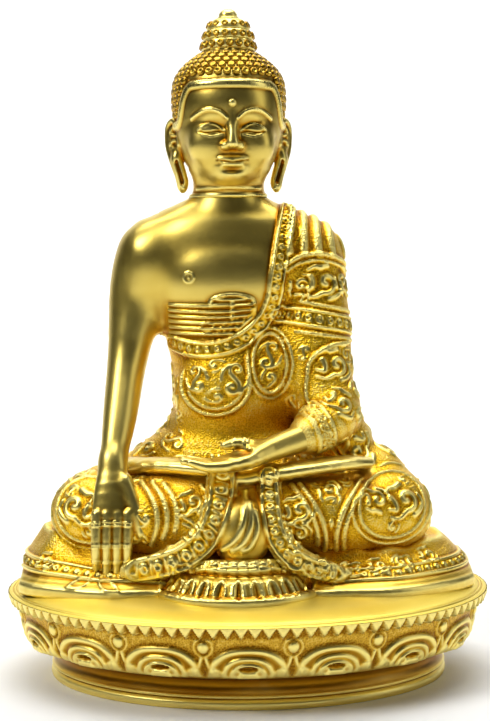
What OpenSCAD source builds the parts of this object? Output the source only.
// Seated Buddha statue in gilt copper, in millimetres.
// +Z is up, the figure faces -Y, and the origin is the middle of the pedestal's foot.
// The figure, head, right arm, left hand and pedestal are separate castings. They are joined
// by spigots, tenons, tangs, wedges and cross pins, and a sheet plate seals the pedestal.

/* [Statue] */
// Height from the foot to the tip of the crown jewel
statue_h = 210; // [205:1:215]

/* [Pedestal] */
// Width of the toothed rim, side to side
rim_w = 152; // [148:1:156]
// Depth of the toothed rim, front to back
rim_d = 120; // [117:1:123]
// Height of the flat deck that the figure sits on
deck_z = 29.5; // [29:0.5:30]
// Wall thickness of the pedestal casting
pedestal_wall = 3; // [2.5:0.5:3.5]
// Number of lotus petals round the pedestal
petals = 16; // [12:2:20]
// How far each petal swells out of the wall
petal_bulge = 2.4; // [1:0.2:3]

/* [Figure] */
// Sideways place of the head and torso
upper_x = -5; // [-5.5:0.5:-4]
// Wall thickness of the figure casting
figure_wall = 3.4; // [3:0.2:4]
// Height of the joint between neck and head
neck_z = 150; // [149:0.5:151]
// Sideways place of the joint between torso and right arm
shoulder_x = -27; // [-28:0.5:-26]

/* [Closure] */
// Thickness of the sealing plate
plate_t = 0.8; // [0.6:0.1:1]
// Number of rivets that hold the plate
rivets = 8; // [6:2:10]

/* [Hidden] */
skin_fn = 18;                 // facets of the sculpted skins
hand_fn = 12;                 // facets of fingers, ears and hands
gilt = [0.93, 0.74, 0.30];
copper = [0.72, 0.45, 0.30];
red_wood = [0.55, 0.20, 0.12];
paper = [0.88, 0.80, 0.58];

rim_a = rim_w / 2;
rim_b = rim_d / 2;
ring_n = 6 * petals;          // points round the pedestal, six to a petal
foot_inset = 12.8;            // how far the foot stands inside the rim
foot_flange_z = 3.6;
plate_inset = foot_inset + 2.4;
plate_seat_z = 2.2;           // the plate's upper face, against the step inside the foot
jewel_h = 3.2;
jewel_seat_z = statue_h - jewel_h;
jewel_peg_r = 1.5;
jewel_peg_len = 5;

spigot_r = 7.4;               // neck spigot
spigot_bore_r = 4.4;
spigot_len = 9;
tenon_r = 3.4;                // shoulder tenon
tenon_len = 5.5;
wrist_r = 2.6;                // forearm spigot inside the sleeve
wrist_len = 7;
pin_r = 0.9;
fit_gap = 0.05;               // radial gap of every joint
rivet_r = 0.8;
rivet_grip = 2.8;             // how deep a rivet reaches into the foot

tang_size = [8, 2.6];         // width and thickness of one tang
tang_len = 9;                 // how far a tang hangs below the top of the deck
tang_places = [[-41, 3], [38, 3], [-15, -20], [11, -20]];
wedge_size = [13, 2.2, 2];
wedge_gap = 0.4;              // sheet-thick space between the deck and a wedge

stake_y = 8;                  // front-to-back place of the stake, neck and crown
shoulder_y = 8.5;
shoulder_z = 128;
cuff = [18.6, -20.4, 76.4];   // mouth of the left sleeve
cuff_axis = [-0.86, -0.44, -0.26];

// ---- small helpers ----

// An ellipsoid given as [x, y, z, rx, ry, rz]; grow adds to every radius.
module blob(e, grow = 0, fn = skin_fn) {
    translate([e[0], e[1], e[2]])
        scale([e[3] + grow, e[4] + grow, e[5] + grow])
            sphere(r = 1, $fn = fn);
}

// A limb: ellipsoids joined two by two.
module limb(list, grow = 0, fn = skin_fn) {
    for (i = [0 : len(list) - 2])
        hull() {
            blob(list[i], grow, fn);
            blob(list[i + 1], grow, fn);
        }
}

// A cylinder from point p along direction d.
module rod(p, d, r, len, fn = 32) {
    yaw = atan2(d[1], d[0]);
    tilt = acos(d[2] / norm(d));
    translate(p) rotate([0, tilt, yaw]) cylinder(r = r, h = len, $fn = fn);
}

// ---- pedestal ----

// Angles that cut the rim's ellipse into equal arcs, so that petals keep one width.
fine = 360;
function rim_step(i) = norm([rim_a * (cos(i + 1) - cos(i)), rim_b * (sin(i + 1) - sin(i))]);
rim_arc = [for (i = 0, s = 0; i <= fine; s = s + rim_step(i), i = i + 1) [s, i]];
rim_total = rim_arc[fine][0];
function angle_at(share) = lookup(share * rim_total, rim_arc);
ring_angles = [for (i = [0 : ring_n - 1]) angle_at(i / ring_n)];

function oval(inset, z, bulge = 0) = [
    for (i = [0 : ring_n - 1])
        let (petal = abs(sin(180 * i * petals / ring_n + 90)),
             grow = bulge * sqrt(petal) - inset)
        [(rim_a + grow) * cos(ring_angles[i]), (rim_b + grow) * sin(ring_angles[i]), z]];

// Skins a stack of rings and closes both ends with flat caps.
module skin(rings) {
    n = len(rings[0]);
    m = len(rings);
    points = [for (ring = rings) each ring];
    sides = [for (j = [0 : m - 2], i = [0 : n - 1])
        let (k = (i + 1) % n)
        [j * n + i, (j + 1) * n + i, (j + 1) * n + k, j * n + k]];
    bottom = [for (i = [0 : n - 1]) i];
    top = [for (i = [n - 1 : -1 : 0]) (m - 1) * n + i];
    polyhedron(points, concat([bottom], sides, [top]), convexity = 8);
}

module pedestal_outside() {
    skin([
        oval(foot_inset, 0),
        oval(foot_inset - 0.6, 1.8),
        oval(foot_inset, foot_flange_z),
        oval(foot_inset + 1.6, 6),
        oval(foot_inset + 2, 9.5),
        oval(foot_inset - 2, 11),
        oval(7, 12.4, petal_bulge * 0.7),
        oval(5.6, 15, petal_bulge),
        oval(5.2, 18, petal_bulge * 0.8),
        oval(5, 21.5, petal_bulge * 0.4),
        oval(3.6, 24.2),
        oval(0.2, 25.4),
        oval(0, 26.8),
        oval(2, 27.9),
        oval(8, deck_z)
    ]);
}

module pedestal_inside() {
    w = pedestal_wall;
    skin([
        oval(plate_inset + w, plate_seat_z - 1),
        oval(foot_inset + 2 + w, 10),
        oval(foot_inset - 2 + w, 14),
        oval(5.6 + w, 18),
        oval(5 + w, deck_z - w - 2),
        oval(9 + w, deck_z - w)
    ]);
}

module oval_sheet(inset, z, h) {
    translate([0, 0, z]) linear_extrude(h) polygon([for (p = oval(inset, 0)) [p[0], p[1]]]);
}

module tang(at) {
    translate([at[0], at[1], deck_z - tang_len / 2 + 1])
        cube([tang_size[0], tang_size[1], tang_len + 2], center = true);
}

module wedge_hole(at, grow = 0) {
    translate([at[0], at[1], deck_z - pedestal_wall - wedge_gap - wedge_size[2] / 2])
        cube([wedge_size[1] + grow, wedge_size[0], wedge_size[2] + grow], center = true);
}

// Opening in the deck, through which the stake and rolls reach into the figure.
module deck_opening() {
    translate([upper_x, stake_y, deck_z - pedestal_wall - 4])
        linear_extrude(pedestal_wall + 8)
            hull() for (x = [-6, 6]) translate([x, 0]) circle(r = 11.4, $fn = 40);
}

module lotus_pedestal() {
    color(gilt) difference() {
        pedestal_outside();
        pedestal_inside();
        oval_sheet(plate_inset, -1, plate_seat_z + 1);
        deck_opening();
        for (at = tang_places)
            translate([at[0], at[1], deck_z])
                cube([tang_size[0] + 0.4, tang_size[1] + 0.4, 12], center = true);
        for (i = [0 : rivets - 1]) rivet_hole(i);
    }
}

module rivet_hole(i) {
    rivet_at(i) translate([0, 0, -1])
        cylinder(r = rivet_r + fit_gap, h = 1 + plate_t + rivet_grip + 0.2, $fn = 24);
}

module base_plate() {
    color(copper) difference() {
        oval_sheet(plate_inset + 0.1, plate_seat_z - plate_t, plate_t);
        for (i = [0 : rivets - 1]) rivet_hole(i);
    }
}

// Puts its children at rivet i, at the level of the plate's lower face.
module rivet_at(i) {
    a = angle_at((i + 0.5) / rivets);
    inset = plate_inset + 1.65;
    translate([(rim_a - inset) * cos(a), (rim_b - inset) * sin(a), plate_seat_z - plate_t])
        children();
}

module plate_rivets() {
    color(copper) for (i = [0 : rivets - 1]) rivet_at(i) {
        translate([0, 0, -0.7]) cylinder(r = 1.5, h = 0.7, $fn = 24);
        cylinder(r = rivet_r, h = plate_t + rivet_grip, $fn = 24);
    }
}

// ---- figure ----

thigh_r = [[-14, 18, 50, 21, 18, 19], [-36, 5, 50, 18, 17, 20], [-46, -6, 47, 16.2, 16, 18.5]];
shin_r = [[-44, -9, 44, 13, 13, 13], [-20, -22, 42, 13, 12, 12], [6, -26, 43, 10, 9, 9]];
thigh_l = [[10, 18, 50, 21, 18, 19], [32, 6, 51.5, 18, 17, 21.5], [42.7, -6, 47.5, 16, 16, 19.5]];
shin_l = [[42, -9, 44, 13, 13, 13], [18, -22, 42, 13, 12, 12], [-8, -26, 41, 10, 9, 9]];
trunk = [[-2.5, 15, 50, 33, 21, 20], [-4, 11, 78, 21, 16, 12], [-4.8, 9, 98, 19, 14.5, 12],
         [-5, 8, 119, 25, 16.5, 16]];
girdle = [[-31.5, 8.5, 129.5, 11.5, 11, 12.5], [-18, 9, 138, 10, 11, 10], [8, 9, 137, 10, 11, 10],
          [21.3, 8.5, 130.5, 11.5, 11, 12]];
chest_hollow = [upper_x, 8, 116, 17, 12, 13];
throat_hollow = [upper_x, 8.5, 139, 7, 5.4, 3];
neck = [[upper_x, 9, 140, 15.5, 11, 8], [upper_x, 8, 146, 10.4, 10.2, 4], [upper_x, 8, 152, 9.6, 9.6, 3]];
sleeve = [[21.3, 8.5, 130.5, 11.5, 11, 12], [22.2, 4.5, 112, 11.5, 11, 9], [24.6, -2, 90, 10.6, 10.5, 10],
          [26, -8, 82, 9.5, 9, 8.5], [22, -16.5, 78, 7, 7, 6.5], [18.6, -19.7, 76.7, 6, 6, 6]];
arm = [[-32, 8.5, 129.5, 11.5, 11, 12.5], [-36.2, 6, 112, 7.6, 9, 8], [-37.8, 1, 97, 6.4, 7.4, 7],
       [-39.2, -9, 82, 5.6, 5.8, 5.6], [-40.8, -18.5, 69, 4, 4, 4]];

hem_outline = [[-66, 4], [-64, -12], [-55, -24], [-40, -30], [-26, -29], [-20, -36], [-10, -43], [0, -46],
               [9, -44], [18, -36], [24, -29], [40, -29], [55, -23], [65, -11], [67, 3], [56, 24],
               [34, 36], [0, 41], [-34, 36], [-56, 24]];

// The robe's hem: the thin edge that lies on the deck, and the fold above it.
module hem() {
    translate([0, 0, deck_z]) linear_extrude(1.6) offset(r = 3, $fn = 24) offset(delta = -3) polygon(hem_outline);
    translate([0, 0, deck_z + 1])
        linear_extrude(3, scale = 0.96) offset(r = 2, $fn = 24) offset(delta = -3.4) polygon(hem_outline);
}

module above_deck() {
    translate([-100, -100, deck_z]) cube([200, 200, 200]);
}

module upper_right_of(x, h_low = 92) {
    translate([x - 100, -60, h_low]) cube([100, 120, 100]);
}

module legs(grow = 0) {
    limb(thigh_r, grow);
    limb(shin_r, grow);
    limb(thigh_l, grow);
    limb(shin_l, grow);
}

module figure_skin() {
    legs();
    limb(trunk);
    limb(girdle);
    limb(neck);
    limb(sleeve);
}

module figure_cavity() {
    limb(thigh_r, -figure_wall);
    limb(thigh_l, -figure_wall);
    limb([for (i = [0 : 2]) trunk[i]], -figure_wall);
    limb([[trunk[2][0], trunk[2][1], trunk[2][2] - 2, 16.6, 10.8, 9], chest_hollow, throat_hollow]);
}

module figure_body() {
    color(gilt) difference() {
        union() {
            intersection() {
                figure_skin();
                above_deck();
            }
            hem();
            for (at = tang_places) tang(at);
        }
        figure_cavity();
        translate([upper_x, 4, deck_z - 1]) linear_extrude(18) scale([30, 19]) circle(r = 1, $fn = 48);
        upper_right_of(shoulder_x);
        translate([-100, -100, neck_z]) cube([200, 200, 100]);
        // sockets: neck, right shoulder, left sleeve
        translate([upper_x, stake_y, neck_z - spigot_len - 1]) cylinder(r = spigot_r + fit_gap, h = 30, $fn = 48);
        rod([shoulder_x - 1, shoulder_y, shoulder_z], [1, 0, 0], tenon_r + fit_gap, tenon_len + 1.5);
        rod(cuff + cuff_axis, -cuff_axis, wrist_r + fit_gap, wrist_len + 1.5);
        rod(cuff, cuff_axis, 12, 30);
        // wedge slots and cross-pin holes
        for (at = tang_places) wedge_hole(at, 0.2);
        neck_pin_rod(fit_gap, 20);
        shoulder_pin_rod(fit_gap, 20);
        wrist_pin_rod(fit_gap, 6);
    }
}

// The three cross pins, all driven in from where they don't show. They serve as pins and, with
// a gap and a longer outer end, as the holes that the pins sit in.
module neck_pin_rod(gap = 0, outer = 0) {
    rod([upper_x, stake_y + 4.6 - gap, neck_z - 5], [0, 1, 0], pin_r + gap, 5.4 + gap + outer, 24);
}

module shoulder_pin_rod(gap = 0, outer = 0) {
    rod([shoulder_x + 3, 1.6 - gap, shoulder_z], [0, 1, 0], pin_r + gap, 16.4 + gap + outer, 24);
}

module wrist_pin_rod(gap = 0, outer = 0) {
    rod(cuff - 4 * cuff_axis + [0, 0, 3.8 + gap], [0, 0, -1], pin_r + gap, 9 + gap + outer, 24);
}

module tang_wedges() {
    color(copper) for (at = tang_places) wedge_hole(at);
}

module neck_pin() {
    color(copper) neck_pin_rod();
}

module shoulder_pin() {
    color(copper) shoulder_pin_rod();
}

module wrist_pin() {
    color(copper) wrist_pin_rod();
}

// ---- head ----

head_x = upper_x + 0.3;
skull = [[head_x, 8, 178, 18.2, 18.6, 18], [head_x, 6, 168, 16, 15.5, 11], [head_x, 4, 163.5, 10.5, 10.5, 6.5]];
throat = [[head_x, 8, 165, 10.5, 10, 4], [upper_x, 8, 150, 9.6, 9.6, 3]];

module ear(side) {
    limb([[head_x + side * 18, 7, 171, 2, 4, 5.5], [head_x + side * 16.6, 6, 161, 1.7, 3, 4],
          [head_x + side * 14.6, 5, 154, 1.8, 2.6, 3.2]], 0, hand_fn);
}

// Tiers of hair on the crown, each given as radius, height of its middle and half thickness.
module hair_mound() {
    tiers = [[9.6, 192, 5.4], [8.8, 198, 2.6], [7.8, 202, 2.2], [6.8, 205.1, 1.4]];
    for (tier = tiers) blob([head_x, 8, tier[1], tier[0], tier[0], tier[2]]);
    translate([head_x, 8, 186]) cylinder(r1 = 8.6, r2 = 4.4, h = jewel_seat_z - 186, $fn = 24);
}

module head_skin() {
    limb(skull);
    limb(throat);
    ear(-1);
    ear(1);
    hair_mound();
    limb([[head_x, 8, 182, 18.4, 19, 12], [head_x, 8, 186, 16, 16.5, 11]]);
    limb([[head_x, -9, 172, 2, 2.4, 4], [head_x, -10.5, 168.5, 2.2, 2, 1.8]], 0, hand_fn);
}

module head() {
    color(gilt) difference() {
        union() {
            difference() {
                head_skin();
                translate([-50, -50, 100]) cube([100, 100, neck_z - 100]);
                limb(skull, -3.2);
            }
            translate([upper_x, stake_y, neck_z - spigot_len])
                cylinder(r = spigot_r, h = spigot_len + 3, $fn = 48);
        }
        translate([upper_x, stake_y, neck_z - 20]) cylinder(r = spigot_bore_r, h = 40, $fn = 40);
        translate([head_x, stake_y, jewel_seat_z - jewel_peg_len - 0.5])
            cylinder(r = jewel_peg_r + fit_gap, h = 20, $fn = 24);
        neck_pin_rod(fit_gap, 5);
    }
}

module crown_jewel() {
    color(gilt) translate([head_x, stake_y, jewel_seat_z]) {
        translate([0, 0, -jewel_peg_len]) cylinder(r = jewel_peg_r, h = jewel_peg_len + 0.5, $fn = 24);
        rotate_extrude($fn = 48)
            polygon([[0, 0], [2.6, 0], [2.9, 0.7], [2.6, 1.6], [1.8, 2.4], [0.8, 3], [0, jewel_h]]);
    }
}

// ---- right arm: bare, with the hand hanging over the shin to the deck ----

hand_r_x = -40.4;
module finger_r(i) {
    x = hand_r_x + 4.7 - 3.1 * i;
    low = [36.4, 35.4, 35.8, 38.2][i];
    limb([[x, -27.2, 51, 1.75, 2.1, 2], [x - 0.2, -28, 43.5, 1.6, 1.9, 2], [x - 0.2, -27.4, low, 1.4, 1.5, 1.6]],
         0, hand_fn);
}

module right_arm() {
    color(gilt) difference() {
        union() {
            intersection() {
                union() {
                    limb(arm);
                    limb([[-40.6, -19.6, 67, 4, 3.8, 4], [hand_r_x + 0.2, -24.6, 60, 5.6, 3, 4],
                          [hand_r_x, -27, 52, 6.6, 2.6, 3]], 0, hand_fn);
                    for (i = [0 : 3]) finger_r(i);
                    limb([[-36, -24, 62, 2.2, 2.2, 3], [-33.4, -26.5, 55, 1.9, 2, 2.4],
                          [-32.2, -27.5, 48, 1.5, 1.6, 1.8]], 0, hand_fn);
                }
                translate([-100, -100, 0]) cube([100 + shoulder_x, 200, 200]);
            }
            rod([shoulder_x - 3, shoulder_y, shoulder_z], [1, 0, 0], tenon_r, tenon_len + 3);
        }
        shoulder_pin_rod(fit_gap, 5);
        legs(0.3);
    }
}

// ---- left hand: palm up in the lap ----

module finger_l(i) {
    y = -26.6 - 3.1 * i;
    tip = [-17, -18.6, -18.2, -16][i];
    limb([[-6, y, 69.4, 2, 1.8, 1.9], [-12, y - 0.3, 69.6, 1.8, 1.6, 1.6], [tip, y - 0.2, 70.6, 1.6, 1.4, 1.3]],
         0, hand_fn);
}

module left_hand() {
    color(gilt) difference() {
        union() {
            intersection() {
                limb([[20, -19.8, 77, 4.2, 4, 4.2], [7, -27.5, 73.2, 3.8, 3.8, 3.4], [-1, -31, 70.6, 5, 6.4, 3],
                      [-6, -31.4, 69.2, 4, 6.6, 2.6]], 0, hand_fn);
                rod(cuff, cuff_axis, 20, 60);
            }
            for (i = [0 : 3]) finger_l(i);
            limb([[2, -26, 73, 2.6, 2.2, 2.2], [-3, -26, 74.6, 2, 1.8, 1.8], [-7, -26.4, 74.8, 1.6, 1.5, 1.4]],
                 0, hand_fn);
            rod(cuff + 2 * cuff_axis, -cuff_axis, wrist_r, wrist_len + 2);
        }
        wrist_pin_rod(fit_gap, 6);
        legs(0.2);
    }
}

// ---- what the statue holds inside ----

stake_z = plate_seat_z;
stake_top = 168;
module life_tree() {
    color(red_wood) translate([upper_x, stake_y, stake_z])
        rotate([0, 0, 45]) cylinder(r1 = 4.2, r2 = 1.6, h = stake_top - stake_z, $fn = 4);
}

roll_r = 2.8;
roll_lengths = [84, 70, 78, 66, 74, 62];
module mantra_rolls() {
    color(paper) for (i = [0 : 5])
        translate([upper_x + 9 * cos(60 * i), stake_y + 6.4 * sin(60 * i), stake_z])
            difference() {
                cylinder(r = roll_r, h = roll_lengths[i], $fn = 32);
                translate([0, 0, -1]) cylinder(r = 0.6, h = roll_lengths[i] + 2, $fn = 16);
            }
}

lotus_pedestal();
figure_body();
head();
crown_jewel();
right_arm();
left_hand();
neck_pin();
shoulder_pin();
wrist_pin();
tang_wedges();
base_plate();
plate_rivets();
life_tree();
mantra_rolls();
